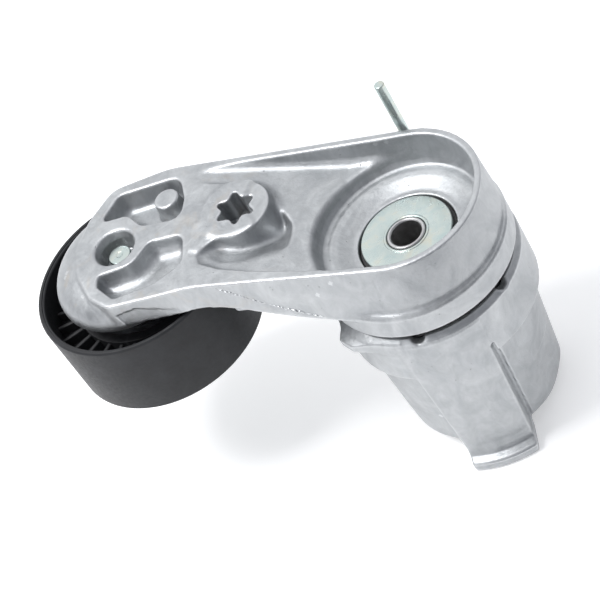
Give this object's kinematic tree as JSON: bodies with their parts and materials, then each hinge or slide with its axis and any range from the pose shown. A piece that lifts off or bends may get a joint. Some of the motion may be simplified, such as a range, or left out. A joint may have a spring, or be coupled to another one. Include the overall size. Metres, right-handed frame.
{
  "type": "belt tensioner idler",
  "caption": "Automatic belt tensioner: cast spring case and swinging cast arm with a smooth plastic idler pulley on a ball bearing, held by a locking pin.",
  "frame": {"origin": "centre of the spring case's mounting face, on the pivot axis, where the mounting bolt leaves the case", "axes": "+Z along the pivot from the mounting face to the arm, +X from the pivot to the pulley's centre with the arm pinned, +Y completes the right-handed set, towards the tab's side"},
  "size_m": [0.1667, 0.0758, 0.1126],
  "materials": {
    "cast_aluminium": "as die-cast, light grey, faintly mottled, edges worn bright",
    "zinc_plate": "zinc-plated steel, slightly bluish, satin",
    "bare_steel": "turned bare steel",
    "spring_steel": "dark oiled spring wire",
    "bearing_steel": "ground and polished",
    "black_plastic": "satin moulded, glass-filled",
    "nylon": "black glass-filled nylon",
    "seal_rubber": "black, matt"
  },
  "bodies": {
    "base": {"spring_case": "cast_aluminium", "pivot_tube": "bare_steel", "thrust_plate": "zinc_plate", "torsion_spring": "spring_steel", "spring_seat": "nylon", "damping_band": "nylon", "dust_seal": "seal_rubber"},
    "arm": {"tensioner_arm": "cast_aluminium", "upper_bush": "nylon", "lower_bush": "nylon", "thrust_liner": "nylon", "pulley_bolt": "zinc_plate", "pulley_spacer": "bare_steel", "bearing_inner_ring": "bearing_steel", "dust_cap": "zinc_plate"},
    "pulley": {"pulley_shell": "black_plastic", "bearing_outer_ring": "bearing_steel", "upper_shield": "seal_rubber", "lower_shield": "seal_rubber"},
    "cage": {"bearing_cage": "nylon", "bearing_ball_1": "bearing_steel", "bearing_ball_2": "bearing_steel", "bearing_ball_3": "bearing_steel", "bearing_ball_4": "bearing_steel", "bearing_ball_5": "bearing_steel", "bearing_ball_6": "bearing_steel", "bearing_ball_7": "bearing_steel", "bearing_ball_8": "bearing_steel"},
    "locking_pin": {"locking_pin": "zinc_plate"}
  },
  "joints": [
    {"name": "arm_swing", "type": "hinge", "parent": "base", "child": "arm", "pos_m": [0, 0, 0], "axis": [0, 0, 1], "range_deg": [-35, 0], "stiffness_Nm_per_rad": 20, "springref_deg": 57.3},
    {"name": "pulley_spin", "type": "hinge", "parent": "arm", "child": "pulley", "pos_m": [0.099, 0, 0.0638], "axis": [0, 0, 1], "continuous": true},
    {"name": "cage_spin", "type": "hinge", "parent": "arm", "child": "cage", "pos_m": [0.099, 0, 0.0638], "axis": [0, 0, 1], "continuous": true},
    {"name": "pin_pull", "type": "slide", "parent": "arm", "child": "locking_pin", "axis": [0, 0, 1], "range_m": [0, 0.045]}
  ],
  "couplings": [
    {"joint": "cage_spin", "follows": "pulley_spin", "ratio": 0.6053}
  ]
}
